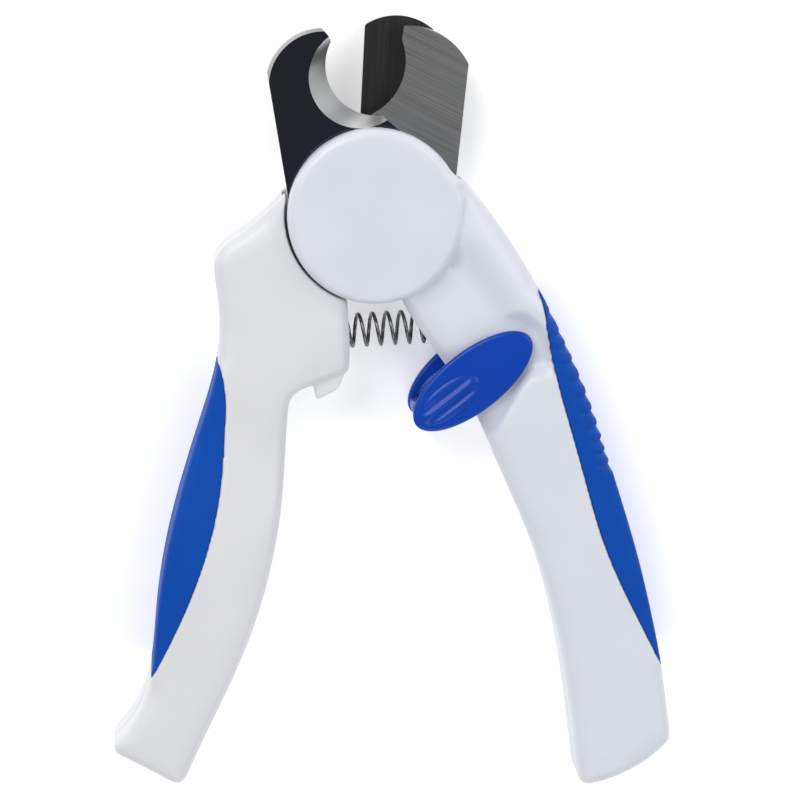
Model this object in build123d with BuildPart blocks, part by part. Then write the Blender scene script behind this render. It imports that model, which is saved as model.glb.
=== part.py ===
from build123d import *
import os
from math import atan2, cos, degrees, hypot, radians, sin

os.makedirs("parts", exist_ok=True)

# Plier-style pet nail trimmer, lying open on its back.
# +X right, +Y towards the blades, +Z up. Origin: pivot axis, on the resting plane.
# The front blade belongs to the right handle, the rear blade to the left handle.

# ---------------------------------------------------------------- driving dimensions (mm)
TOTAL_T = 18.6  # over the two pivot discs and the grips
SPLIT_Z = 10.0  # plane where the blades rub and each handle's shells meet
NECK_DROP = 2.6  # the necks lie this far below the disc and grip faces
NECK_BACK_Z = NECK_DROP
NECK_FRONT_Z = TOTAL_T - NECK_DROP
MID_Z = TOTAL_T / 2

DISC_R = 17.3  # the round covers over the pivot
FRONT_ARC_R = 17.8  # concave end of the left handle beside the front disc
ARC_R = 18.2  # the round rooms that the blade roots turn in
SEAM_TURN = 90.0  # round faces about the pivot start at +Y, where neither handle is
BACK_DISC_T = 4.6
FRONT_DISC_Z = 13.45

BLADE_GAP = 0.05  # each blade stands this far from the rubbing plane
FRONT_BLADE_T = 3.35
REAR_BLADE_T = 3.4
BLADE_CHAMFER = 0.6
GUARD_Z = 5.2
GUARD_T = 1.2
EYE_R = 15.5  # blade roots around the pivot
TANG_W = 10.0

BOLT_R = 3.0
BOLT_FIT = 0.06  # radial clearance of what turns on the bolt
NUT_BARREL_R = 4.6
NUT_FLANGE_R = 7.0
NUT_FLANGE_T = 1.5
NUT_FLOOR_T = 1.25  # closed face of the nut
SPANNER_HOLE_R = 0.8
SPANNER_HOLES_AT = 4.8
SPANNER_HOLE_D = 0.9
THREAD_FIT = 0.02
EDGE_CHAMFER = 0.3
BOLT_HEX = 5.0  # half the width across the bolt head's flats
BOLT_HEAD_T = 2.4
BOLT_HEAD_Z = 13.95
BLADE_WASHER_R = 7.0
GUARD_WASHER_R = 6.4
STACK_GAP = 0.05  # between neighbours in the pivot stack

CUT_PAST = 1.0  # cutters run this far past the faces they open
SEAM_PAST = 0.1  # and this far past the plane where the shells meet
TANG_FIT = 0.1
SEAT_FIT = 0.2  # radial room around washers, the nut's flange and the screw heads

WALL = 2.4  # shell walls
HOLLOW_CORNER_R = 1.5
POST_WALL = 1.9  # plastic around each screw post's hole
EDGE_R = 1.6  # rounding of the handles' outer edges

LOCK_PIVOT = (25.2, -29.0)
LOCK_CENTRE = (19.25, -33.0)
LOCK_LONG = 14.3  # half axes of the oval cheeks
LOCK_SHORT = 6.1
LOCK_TURN = 38.0  # the oval's long axis against +X, degrees
CHEEK_T = 1.9
CHEEK_EDGE_R = 1.0
BRIDGE_INSET = 0.4  # the bridge stands this far inside the oval
BRIDGE_SUNK = 1.0  # and runs this far into each cheek
CHEEK_BACK_Z = 0.4
CHEEK_FRONT_Z = TOTAL_T - CHEEK_BACK_Z - CHEEK_T

SPRING_R = 3.15  # centre of the wire
WIRE_R = 0.37
SPRING_TURNS = 8.3
SPRING_START = (-9.4, -24.0)
SPRING_END = (14.2, -23.0)
BORE_FIT = 0.35  # radial room around the spring
BORE_END = 0.2

SCREW_R = 1.3
SCREW_HEAD_R = 2.5
SCREW_HEAD_T = 1.7
SCREW_FIT = 0.05
SCREW_GAP = 0.3  # below each head and past each screw's end
CROSS_LONG = 3.0  # the cross slot in each head
CROSS_WIDE = 0.7
CROSS_DEEP = 0.9
RIGHT_SCREWS = [(19.5, -14.0), (33.5, -56.0), (49.5, -104.0)]
LEFT_SCREWS = [(-21.0, -13.5), (-27.5, -70.0), (-42.5, -103.0)]

RIB_CRESTS = [(33.8, -17.5), (36.3, -22.4), (37.6, -25.3), (38.9, -28.1), (40.3, -31.4), (41.7, -35.0)]
RIB_CRESTS += [(43.0, -38.2), (44.0, -41.4), (45.0, -44.4), (45.8, -46.8), (46.6, -49.3), (47.4, -51.8)]
RIB_R = 1.25  # round valley between two crests
RIB_OUT = 0.7  # its centre stands this far outside the grip

PIN_R = 1.5
PIN_SKIN = 0.7  # cheek left over each end of the pin
PIN_END_GAP = 0.1

def save(item, label):
    """Labels a finished piece and writes its STEP file."""
    item.part.label = label
    export_step(item.part, f"parts/{label}.step")


# ---------------------------------------------------------------- outlines
def right_outline():
    """The right handle seen from the front, grip included."""
    inner = [(4.4, -14.6), (7.1, -20.2), (14.2, -30.4), (19.6, -39.2), (25.8, -53.3)]
    inner += [(31.1, -65.7), (35.4, -79.5), (38.3, -94.0), (41.3, -117.2)]
    outer = [(60.0, -107.6), (58.7, -97.5), (55.9, -82.6), (51.8, -66.1), (47.4, -51.8)]
    outer += [(43.0, -38.2), (37.6, -25.3), (30.8, -11.9), (24.6, -2.1), (17.9, 5.9), (11.5, 11.2)]
    with BuildSketch() as face:
        with BuildLine():
            Spline(*inner)
            ThreePointArc(inner[-1], (51.4, -114.3), outer[0])
            Spline(*outer)
            Line(outer[-1], inner[0])
        make_face()
        fillet(face.vertices().group_by(Axis.Y)[0], radius=2.2)
        fillet(face.vertices().sort_by(Axis.X)[-1], radius=2.2)
    return face.sketch


def left_outline():
    """The left handle seen from the front, grip included, without the catch."""
    side = [(-32.3, -6.4), (-31.2, -14.8), (-30.6, -22.5), (-31.6, -31.5), (-35.0, -43.0)]
    side += [(-38.9, -55.9), (-42.1, -69.0), (-44.0, -82.0), (-45.2, -92.6), (-54.3, -107.6)]
    inner = [(-39.2, -116.0), (-33.1, -102.7), (-27.9, -91.7), (-23.6, -80.6)]
    inner += [(-20.5, -69.1), (-18.6, -57.6), (-17.7, -45.2), (-16.9, -35.8)]
    with BuildSketch() as face:
        with BuildLine():
            Spline((-12.5, 9.0), (-17.8, 3.9), (-23.3, -1.3), side[0])
            Spline(*side)
            ThreePointArc(side[-1], (-47.0, -111.5), inner[0])
            Spline(*inner)
            Line(inner[-1], (-5.1, -31.4))
            Line((-5.1, -31.4), (-4.9, -26.0))
            Line((-4.9, -26.0), (-5.6, -14.0))
            Line((-5.6, -14.0), (-12.5, 9.0))
        make_face()
        fillet(face.vertices().sort_by_distance((-32.3, -6.4))[0], radius=7.0)
        fillet(face.vertices().sort_by_distance((-54.3, -107.6))[0], radius=1.8)
        fillet(face.vertices().sort_by_distance((-39.2, -116.0))[0], radius=2.2)
        fillet(face.vertices().sort_by_distance((-16.9, -35.8))[0], radius=4.0)
        fillet(face.vertices().sort_by_distance((-5.1, -31.4))[0], radius=1.2)
    return face.sketch


def right_grip_field():
    """Everything on the outer side of the right grip's parting line."""
    line = [(31.8, -13.2), (33.2, -18.6), (35.6, -31.0), (38.4, -41.3), (41.6, -52.5)]
    line += [(45.8, -66.5), (51.1, -78.6), (59.2, -94.8)]
    with BuildSketch() as face:
        with BuildLine():
            Spline(*line)
            Polyline(line[-1], (75.0, -94.8), (75.0, -13.2), line[0])
        make_face()
    return face.sketch


def left_grip_field():
    """Everything on the outer side of the left grip's parting line."""
    line = [(-31.9, -27.2), (-29.9, -34.0), (-29.9, -43.0), (-31.0, -55.0), (-34.3, -68.8)]
    line += [(-39.2, -81.2), (-46.6, -95.4)]
    with BuildSketch() as face:
        with BuildLine():
            Spline(*line)
            Polyline(line[-1], (-60.0, -95.4), (-60.0, -27.2), line[0])
        make_face()
    return face.sketch


def lock_recess():
    """The sunk part of the right handle's faces: the neck, and the room the lock swings in."""
    ridge = [(6.0, 3.6), (16.9, -1.6), (26.0, -11.2), (30.4, -18.6), (32.4, -25.6)]
    ridge += [(31.2, -30.4), (28.5, -34.2), (26.0, -38.4), (21.6, -44.8), (17.0, -50.5)]
    with BuildSketch() as face:
        with BuildLine():
            Spline(*ridge)
            Polyline(ridge[-1], (-10.0, -50.5), (-10.0, 3.6), ridge[0])
        make_face()
    return face.sketch


def lock_oval(grow=0.0):
    """The lock's oval cheek, grown by a margin."""
    with BuildSketch() as face:
        with Locations(Location((*LOCK_CENTRE, 0), LOCK_TURN)):
            Ellipse(LOCK_LONG + grow, LOCK_SHORT + grow)
    return face.sketch


def tang(end_x, end_y, width):
    """A blade's tang from the pivot to its round end."""
    length = hypot(end_x, end_y)
    heading = degrees(atan2(end_y, end_x))
    with BuildSketch() as face:
        with Locations(Location((end_x / 2, end_y / 2, 0), heading)):
            Rectangle(length, width)
        with Locations((end_x, end_y)):
            Circle(width / 2)
    return face.sketch


FRONT_TANG = tang(*RIGHT_SCREWS[0], TANG_W)
REAR_TANG = tang(*LEFT_SCREWS[0], TANG_W)


# ---------------------------------------------------------------- blades
def notch_cutter(low, high, low_z, high_z, radius):
    """A slanted round cutter between two heights: it leaves a bevel and a keen edge."""
    grow = 0.5
    slope_x = (high[0] - low[0]) / (high_z - low_z)
    slope_y = (high[1] - low[1]) / (high_z - low_z)
    with BuildPart() as cutter:
        with BuildSketch(Plane.XY.offset(low_z - grow)):
            with Locations((low[0] - slope_x * grow, low[1] - slope_y * grow)):
                Circle(radius)
        with BuildSketch(Plane.XY.offset(high_z + grow)):
            with Locations((high[0] + slope_x * grow, high[1] + slope_y * grow)):
                Circle(radius)
        loft(ruled=True)
    return cutter.part


FRONT_BLADE_Z = SPLIT_Z + BLADE_GAP
FRONT_TOP_Z = FRONT_BLADE_Z + FRONT_BLADE_T
REAR_TOP_Z = SPLIT_Z - BLADE_GAP
REAR_BLADE_Z = REAR_TOP_Z - REAR_BLADE_T
FRONT_NOTCH = notch_cutter((0.6, 29.1), (-2.8, 27.0), FRONT_BLADE_Z, FRONT_TOP_Z, 10.0)
REAR_NOTCH = notch_cutter((-2.3, 28.2), (-5.1, 29.9), REAR_BLADE_Z, REAR_TOP_Z, 11.5)

with BuildPart() as front_blade:
    with BuildSketch(Plane.XY.offset(FRONT_BLADE_Z)):
        with BuildLine():
            Line((-EYE_R, 0.0), (-16.5, 0.6))
            Line((-16.5, 0.6), (-20.9, 28.0))
            ThreePointArc((-20.9, 28.0), (-17.6, 33.6), (-10.2, 36.6))
            Line((-10.2, 36.6), (-8.9, 35.1))
            Line((-8.9, 35.1), (-4.0, 24.0))
            Line((-4.0, 24.0), (2.5, 18.6))
            Line((2.5, 18.6), (13.5, 9.6))
            Line((13.5, 9.6), (EYE_R, 0.0))
            ThreePointArc((EYE_R, 0.0), (0.0, -EYE_R), (-EYE_R, 0.0))
        make_face()
        add(FRONT_TANG)
    extrude(amount=FRONT_BLADE_T)
    add(FRONT_NOTCH, mode=Mode.SUBTRACT)
    rim = front_blade.edges().filter_by(GeomType.CIRCLE).group_by(Axis.Z)[-1]
    chamfer(rim.sort_by_distance((-17.6, 33.6, FRONT_TOP_Z))[0], length=BLADE_CHAMFER)
    with Locations((0, 0, FRONT_TOP_Z)):
        Hole(BOLT_R + BOLT_FIT)
    with Locations((*RIGHT_SCREWS[0], FRONT_TOP_Z)):
        Hole(SCREW_R + TANG_FIT)

with BuildPart() as rear_blade:
    with BuildSketch(Plane.XY.offset(REAR_BLADE_Z)):
        with BuildLine():
            Line((EYE_R, 0.0), (15.9, 2.0))
            Line((15.9, 2.0), (18.8, 29.1))
            ThreePointArc((18.8, 29.1), (14.2, 34.4), (6.1, 36.6))
            Line((6.1, 36.6), (5.5, 33.1))
            Line((5.5, 33.1), (2.0, 24.0))
            Line((2.0, 24.0), (0.1, 19.6))
            Line((0.1, 19.6), (-12.6, 10.0))
            Line((-12.6, 10.0), (-EYE_R, 0.0))
            ThreePointArc((-EYE_R, 0.0), (0.0, -EYE_R), (EYE_R, 0.0))
        make_face()
        add(REAR_TANG)
    extrude(amount=REAR_BLADE_T)
    add(REAR_NOTCH, mode=Mode.SUBTRACT)
    with Locations((0, 0, REAR_TOP_Z)):
        Hole(BOLT_R + BOLT_FIT)
    with Locations((*LEFT_SCREWS[0], REAR_TOP_Z)):
        Hole(SCREW_R + TANG_FIT)

with BuildPart() as guard_plate:
    with BuildSketch(Plane.XY.offset(GUARD_Z)):
        with BuildLine():
            Line((-6.5, 6.0), (-2.3, 19.0))
            Line((-2.3, 19.0), (-1.4, 36.6))
            ThreePointArc((-1.4, 36.6), (9.6, 37.3), (15.6, 29.6))
            Line((15.6, 29.6), (10.8, 12.0))
            Line((10.8, 12.0), (8.8, 1.0))
            ThreePointArc((8.8, 1.0), (0.0, -8.86), (-6.5, 6.0))
        make_face()
    extrude(amount=GUARD_T)
    fillet(guard_plate.edges().filter_by(Axis.Z).sort_by_distance((-1.4, 36.6, 6))[0], radius=0.8)
    with Locations((0, 0, GUARD_Z + GUARD_T)):
        Hole(BOLT_R + BOLT_FIT)

# ---------------------------------------------------------------- pivot
BOLT_END_Z = NUT_FLOOR_T + 0.1
with BuildPart() as pivot_bolt:
    with BuildSketch(Plane.XY.offset(BOLT_END_Z)):
        Circle(BOLT_R)
    extrude(amount=BOLT_HEAD_Z - BOLT_END_Z)
    with BuildSketch(Plane.XY.offset(BOLT_HEAD_Z)):
        RegularPolygon(radius=BOLT_HEX, side_count=6, major_radius=False)
    extrude(amount=BOLT_HEAD_T)
    chamfer(pivot_bolt.faces().sort_by(Axis.Z)[0].edges(), length=EDGE_CHAMFER)

with BuildPart() as pivot_nut:
    with BuildSketch(Plane.XY):
        Circle(NUT_FLANGE_R)
    extrude(amount=NUT_FLANGE_T)
    with BuildSketch(Plane.XY.offset(NUT_FLANGE_T)):
        Circle(NUT_BARREL_R)
    extrude(amount=BACK_DISC_T - NUT_FLANGE_T)
    with BuildSketch(Plane.XY.offset(NUT_FLOOR_T)):
        Circle(BOLT_R + THREAD_FIT)
    extrude(amount=BACK_DISC_T, mode=Mode.SUBTRACT)
    with BuildSketch(Plane.XY):
        with PolarLocations(SPANNER_HOLES_AT, 2):
            Circle(SPANNER_HOLE_R)
    extrude(amount=SPANNER_HOLE_D, mode=Mode.SUBTRACT)
    rim = pivot_nut.faces().sort_by(Axis.Z)[0].edges().sort_by(SortBy.LENGTH)[-1]
    chamfer(rim, length=EDGE_CHAMFER)

with BuildPart() as blade_washer:
    with BuildSketch(Plane.XY.offset(FRONT_TOP_Z + STACK_GAP)):
        Circle(BLADE_WASHER_R)
        Circle(BOLT_R + BOLT_FIT, mode=Mode.SUBTRACT)
    extrude(amount=BOLT_HEAD_Z - FRONT_TOP_Z - 2 * STACK_GAP)

with BuildPart() as guard_washer:
    with BuildSketch(Plane.XY.offset(BACK_DISC_T + STACK_GAP)):
        Circle(GUARD_WASHER_R)
        Circle(BOLT_R + BOLT_FIT, mode=Mode.SUBTRACT)
    extrude(amount=GUARD_Z - BACK_DISC_T - 2 * STACK_GAP)

# ---------------------------------------------------------------- handle blanks
RIGHT = right_outline()
LEFT = left_outline()
RECESS = lock_recess()

with BuildPart() as right_neck:
    with BuildSketch(Plane.XY.offset(NECK_BACK_Z)):
        add(RIGHT)
    extrude(amount=NECK_FRONT_Z - NECK_BACK_Z)
    fillet(right_neck.edges().filter_by(Axis.Z, reverse=True), radius=EDGE_R)

with BuildPart() as right_blank:
    with BuildSketch(Plane.XY):
        add(RIGHT)
        add(RECESS, mode=Mode.SUBTRACT)
    extrude(amount=TOTAL_T)
    fillet(right_blank.edges().filter_by(Axis.Z, reverse=True), radius=EDGE_R)
    add(right_neck.part)

with BuildPart() as left_blank:
    with BuildSketch(Plane.XY):
        add(LEFT)
    extrude(amount=TOTAL_T)
    with BuildSketch(Plane.YZ):
        with BuildLine():
            Line((12.0, NECK_FRONT_Z), (-42.0, NECK_FRONT_Z))
            Spline(
                (-42.0, NECK_FRONT_Z),
                (-66.0, TOTAL_T),
                tangents=[(-1, 0), (-1, 0)],
            )
            Polyline((-66.0, TOTAL_T), (-122.0, TOTAL_T), (-122.0, 0.0), (-66.0, 0.0))
            Spline((-66.0, 0.0), (-42.0, NECK_BACK_Z), tangents=[(1, 0), (1, 0)])
            Polyline((-42.0, NECK_BACK_Z), (12.0, NECK_BACK_Z), (12.0, NECK_FRONT_Z))
        make_face()
    extrude(amount=80, both=True, mode=Mode.INTERSECT)
    fillet(left_blank.edges().filter_by(Axis.Z, reverse=True), radius=EDGE_R)


# ---------------------------------------------------------------- cutters shared by the shells
SPRING_SLOPE = degrees(atan2(SPRING_END[1] - SPRING_START[1], SPRING_END[0] - SPRING_START[0]))
SPRING_LENGTH = hypot(SPRING_END[0] - SPRING_START[0], SPRING_END[1] - SPRING_START[1])
SPRING_PLANE = Plane(
    origin=(SPRING_START[0], SPRING_START[1], MID_Z),
    x_dir=(0, 0, 1),
    z_dir=(cos(radians(SPRING_SLOPE)), sin(radians(SPRING_SLOPE)), 0),
)

with BuildPart() as spring_bore:
    with BuildSketch(SPRING_PLANE.offset(-BORE_END)):
        Circle(SPRING_R + WIRE_R + BORE_FIT)
    extrude(amount=SPRING_LENGTH + 2 * BORE_END)


def turn_room(low_z, high_z, radius=ARC_R):
    """The round space that the opposite handle's disc and the blade roots turn in."""
    with BuildPart() as room:
        with BuildSketch(Plane.XY.offset(low_z)):
            with Locations(Location((0, 0, 0), SEAM_TURN)):
                Circle(radius)
        extrude(amount=high_z - low_z)
    return room.part


def column(places, radius, low_z, high_z):
    """Upright round posts or holes at several places."""
    with BuildPart() as posts:
        with BuildSketch(Plane.XY.offset(low_z)):
            with Locations(*[Location((x, y, 0), SEAM_TURN) for x, y in places]):
                Circle(radius)
        extrude(amount=high_z - low_z)
    return posts.part


def slab(face, low_z, high_z):
    """A flat outline raised between two heights."""
    with BuildPart() as plate:
        with BuildSketch(Plane.XY.offset(low_z)):
            add(face)
        extrude(amount=high_z - low_z)
    return plate.part


def hollow(inner_side, outer_side, screws):
    """The hollow of a handle's lower part, between its walls and less the screw posts."""
    with BuildSketch() as face:
        with BuildLine():
            Spline(*inner_side)
            Line(inner_side[-1], outer_side[-1])
            Spline(*outer_side)
            Line(outer_side[0], inner_side[0])
        make_face()
        fillet(face.vertices(), radius=HOLLOW_CORNER_R)
        with Locations(*screws):
            Circle(SCREW_R + POST_WALL, mode=Mode.SUBTRACT)
    return face.sketch


RIGHT_HOLLOW_INNER = [(27.2, -51.0), (33.6, -65.7), (37.9, -79.5), (40.8, -94.0), (43.3, -112.6)]
RIGHT_HOLLOW_OUTER = [(38.2, -51.0), (42.2, -65.2), (47.4, -78.0), (54.2, -93.5), (57.0, -106.6)]
LEFT_HOLLOW_INNER = [(-21.7, -60.0), (-23.2, -69.1), (-30.6, -91.7), (-38.0, -107.0)]
LEFT_HOLLOW_OUTER = [(-29.4, -60.0), (-31.6, -68.0), (-39.6, -86.0), (-48.8, -103.2)]
RIGHT_GRIP = right_grip_field()
LEFT_GRIP = left_grip_field()
RIGHT_HOLLOW = hollow(RIGHT_HOLLOW_INNER, RIGHT_HOLLOW_OUTER, RIGHT_SCREWS[1:])
LEFT_HOLLOW = hollow(LEFT_HOLLOW_INNER, LEFT_HOLLOW_OUTER, LEFT_SCREWS[1:])
HOLLOW_FRONT_Z = TOTAL_T - WALL
HOLLOW_BACK_Z = WALL

FRONT_SCREW_TOP = 15.2
NECK_SCREW_TOP = 14.6


def screw_seats(places):
    """Screw holes from the back, with a counterbore for each head."""
    with BuildPart() as seats:
        for index, place in enumerate(places):
            back = NECK_BACK_Z if index == 0 else 0.0
            with BuildSketch(Plane.XY.offset(back - CUT_PAST)):
                with Locations(place):
                    Circle(SCREW_R + SCREW_FIT)
            extrude(amount=SPLIT_Z - back + CUT_PAST + SEAM_PAST)
            with BuildSketch(Plane.XY.offset(back - CUT_PAST)):
                with Locations(place):
                    Circle(SCREW_HEAD_R + SEAT_FIT)
            extrude(amount=CUT_PAST + SCREW_GAP + SCREW_HEAD_T + SEAM_PAST)
    return seats.part


def screw_sockets(places):
    """Blind holes in a front shell that the screw ends bite into."""
    with BuildPart() as sockets:
        for index, place in enumerate(places):
            top = NECK_SCREW_TOP if index == 0 else FRONT_SCREW_TOP
            with BuildSketch(Plane.XY.offset(SPLIT_Z - SEAM_PAST)):
                with Locations(place):
                    Circle(SCREW_R)
            extrude(amount=top + SCREW_GAP - SPLIT_Z)
    return sockets.part


WIDE = 400.0  # more than the whole object
with BuildSketch() as wide_face:
    Rectangle(WIDE, WIDE)

CORE_R = 16.0  # both handles end on this cylinder, under the discs
CORE = column([(0, 0)], CORE_R, -CUT_PAST, TOTAL_T + CUT_PAST)
BELOW_SPLIT = slab(wide_face.sketch, -CUT_PAST, SPLIT_Z)
ABOVE_SPLIT = slab(wide_face.sketch, SPLIT_Z, TOTAL_T + CUT_PAST)
FRONT_ROOM = turn_room(SPLIT_Z - SEAM_PAST, FRONT_DISC_Z)
FRONT_ROOM_OPEN = turn_room(SPLIT_Z - SEAM_PAST, TOTAL_T + CUT_PAST, FRONT_ARC_R)
REAR_ROOM = turn_room(BACK_DISC_T, SPLIT_Z + SEAM_PAST)
REAR_ROOM_OPEN = turn_room(-CUT_PAST, SPLIT_Z + SEAM_PAST)
FRONT_TANG_SLOT = slab(offset(FRONT_TANG, TANG_FIT), SPLIT_Z - SEAM_PAST, FRONT_TOP_Z + TANG_FIT)
REAR_TANG_SLOT = slab(offset(REAR_TANG, TANG_FIT), REAR_BLADE_Z - TANG_FIT, SPLIT_Z + SEAM_PAST)
RIGHT_GRIP_ROOM = slab(RIGHT_GRIP, -CUT_PAST, TOTAL_T + CUT_PAST)
LEFT_GRIP_ROOM = slab(LEFT_GRIP, -CUT_PAST, TOTAL_T + CUT_PAST)
RIGHT_FRONT_HOLLOW = slab(RIGHT_HOLLOW, SPLIT_Z - SEAM_PAST, HOLLOW_FRONT_Z)
RIGHT_REAR_HOLLOW = slab(RIGHT_HOLLOW, HOLLOW_BACK_Z, SPLIT_Z + SEAM_PAST)
LEFT_FRONT_HOLLOW = slab(LEFT_HOLLOW, SPLIT_Z - SEAM_PAST, HOLLOW_FRONT_Z)
LEFT_REAR_HOLLOW = slab(LEFT_HOLLOW, HOLLOW_BACK_Z, SPLIT_Z + SEAM_PAST)
RIGHT_SOCKETS = screw_sockets(RIGHT_SCREWS)
LEFT_SOCKETS = screw_sockets(LEFT_SCREWS)
RIGHT_SEATS = screw_seats(RIGHT_SCREWS)
LEFT_SEATS = screw_seats(LEFT_SCREWS)
PIN_HOLE = column([LOCK_PIVOT], PIN_R, -CUT_PAST, TOTAL_T + CUT_PAST)
WASHER_SEAT = column([(0, 0)], BLADE_WASHER_R + SEAT_FIT, FRONT_DISC_Z - SEAM_PAST, BOLT_HEAD_Z)
BARREL_BORE = column([(0, 0)], NUT_BARREL_R + BOLT_FIT, -CUT_PAST, BACK_DISC_T + CUT_PAST)
FLANGE_SEAT = column([(0, 0)], NUT_FLANGE_R + SEAT_FIT, -CUT_PAST, NUT_FLANGE_T + STACK_GAP)

DISC_EDGE_R = 1.8
with BuildPart() as front_disc:
    with BuildSketch(Plane.XY.offset(FRONT_DISC_Z)):
        with Locations(Location((0, 0, 0), SEAM_TURN)):
            Circle(DISC_R)
    extrude(amount=TOTAL_T - FRONT_DISC_Z)
    fillet(front_disc.faces().sort_by(Axis.Z)[-1].edges(), radius=DISC_EDGE_R)

with BuildPart() as back_disc:
    with BuildSketch(Plane.XY):
        with Locations(Location((0, 0, 0), SEAM_TURN)):
            Circle(DISC_R)
    extrude(amount=BACK_DISC_T)
    fillet(back_disc.faces().sort_by(Axis.Z)[0].edges(), radius=DISC_EDGE_R)

FRONT_DISC = front_disc.part
BACK_DISC = back_disc.part

# ---------------------------------------------------------------- right handle
with BuildPart() as right_front_shell:
    add(right_blank.part)
    add(CORE, mode=Mode.SUBTRACT)
    add(BELOW_SPLIT, mode=Mode.SUBTRACT)
    add(FRONT_ROOM, mode=Mode.SUBTRACT)
    add(FRONT_DISC)
    add(FRONT_TANG_SLOT, mode=Mode.SUBTRACT)
    add(WASHER_SEAT, mode=Mode.SUBTRACT)
    with BuildSketch(Plane.XY.offset(BOLT_HEAD_Z - STACK_GAP)):
        RegularPolygon(radius=BOLT_HEX + STACK_GAP, side_count=6, major_radius=False)
    extrude(amount=BOLT_HEAD_T + 3 * STACK_GAP, mode=Mode.SUBTRACT)
    add(RIGHT_GRIP_ROOM, mode=Mode.SUBTRACT)
    add(RIGHT_FRONT_HOLLOW, mode=Mode.SUBTRACT)
    add(RIGHT_SOCKETS, mode=Mode.SUBTRACT)
    add(spring_bore.part, mode=Mode.SUBTRACT)
    add(PIN_HOLE, mode=Mode.SUBTRACT)

with BuildPart() as right_rear_shell:
    add(right_blank.part)
    add(CORE, mode=Mode.SUBTRACT)
    add(ABOVE_SPLIT, mode=Mode.SUBTRACT)
    add(REAR_ROOM_OPEN, mode=Mode.SUBTRACT)
    add(RIGHT_GRIP_ROOM, mode=Mode.SUBTRACT)
    add(RIGHT_REAR_HOLLOW, mode=Mode.SUBTRACT)
    add(RIGHT_SEATS, mode=Mode.SUBTRACT)
    add(spring_bore.part, mode=Mode.SUBTRACT)
    add(PIN_HOLE, mode=Mode.SUBTRACT)

with BuildPart() as right_grip:
    add(right_blank.part)
    with BuildSketch(Plane.XY.offset(-CUT_PAST)):
        add(RIGHT_GRIP)
    extrude(amount=TOTAL_T + 2 * CUT_PAST, mode=Mode.INTERSECT)
    with BuildSketch(Plane.XY.offset(-CUT_PAST)):
        for (x, y), (next_x, next_y) in zip(RIB_CRESTS, RIB_CRESTS[1:]):
            share = RIB_OUT / hypot(next_x - x, next_y - y)
            valley_x = (x + next_x) / 2 + share * (y - next_y)
            valley_y = (y + next_y) / 2 + share * (next_x - x)
            with Locations((valley_x, valley_y)):
                Circle(RIB_R)
    extrude(amount=TOTAL_T + 2 * CUT_PAST, mode=Mode.SUBTRACT)

# ---------------------------------------------------------------- left handle
with BuildSketch() as catch_face:
    with BuildLine():
        Polyline((-11.7, -33.4), (-12.0, -35.9), (-11.3, -37.1), (-7.3, -35.0), (-6.2, -32.6))
        Polyline((-6.2, -32.6), (-7.0, -30.0), (-11.7, -30.0), (-11.7, -33.4))
    make_face()
CATCH_BACK_Z = 5.0
CATCH_FRONT_Z = 14.0
CATCH_BACK = slab(catch_face.sketch, CATCH_BACK_Z, SPLIT_Z)
CATCH_FRONT = slab(catch_face.sketch, SPLIT_Z, CATCH_FRONT_Z)

with BuildPart() as left_front_shell:
    add(left_blank.part)
    add(BELOW_SPLIT, mode=Mode.SUBTRACT)
    add(FRONT_ROOM_OPEN, mode=Mode.SUBTRACT)
    add(LEFT_GRIP_ROOM, mode=Mode.SUBTRACT)
    add(LEFT_FRONT_HOLLOW, mode=Mode.SUBTRACT)
    add(LEFT_SOCKETS, mode=Mode.SUBTRACT)
    add(CATCH_FRONT)
    add(spring_bore.part, mode=Mode.SUBTRACT)

with BuildPart() as left_rear_shell:
    add(left_blank.part)
    add(CORE, mode=Mode.SUBTRACT)
    add(ABOVE_SPLIT, mode=Mode.SUBTRACT)
    add(REAR_ROOM, mode=Mode.SUBTRACT)
    add(BACK_DISC)
    add(BARREL_BORE, mode=Mode.SUBTRACT)
    add(FLANGE_SEAT, mode=Mode.SUBTRACT)
    add(REAR_TANG_SLOT, mode=Mode.SUBTRACT)
    add(LEFT_GRIP_ROOM, mode=Mode.SUBTRACT)
    add(LEFT_REAR_HOLLOW, mode=Mode.SUBTRACT)
    add(LEFT_SEATS, mode=Mode.SUBTRACT)
    add(CATCH_BACK)
    add(spring_bore.part, mode=Mode.SUBTRACT)

with BuildPart() as left_grip:
    add(left_blank.part)
    with BuildSketch(Plane.XY.offset(-CUT_PAST)):
        add(LEFT_GRIP)
    extrude(amount=TOTAL_T + 2 * CUT_PAST, mode=Mode.INTERSECT)

# ---------------------------------------------------------------- lock
BRIDGE_INNER_R = 18.6
BRIDGE_START = 210.0
BRIDGE_END = 223.0
BRIDGE_REACH = 30.0

OVAL = lock_oval()
OVAL_INSET = lock_oval(-BRIDGE_INSET)

with BuildSketch() as bridge_face:
    add(OVAL_INSET)
    with Locations(LOCK_PIVOT):
        Circle(BRIDGE_INNER_R, mode=Mode.SUBTRACT)
    with BuildLine():
        Polyline(
            LOCK_PIVOT,
            (
                LOCK_PIVOT[0] + BRIDGE_REACH * cos(radians(BRIDGE_START)),
                LOCK_PIVOT[1] + BRIDGE_REACH * sin(radians(BRIDGE_START)),
            ),
            (
                LOCK_PIVOT[0] + BRIDGE_REACH * cos(radians(BRIDGE_END)),
                LOCK_PIVOT[1] + BRIDGE_REACH * sin(radians(BRIDGE_END)),
            ),
            close=True,
        )
    make_face(mode=Mode.INTERSECT)

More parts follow.
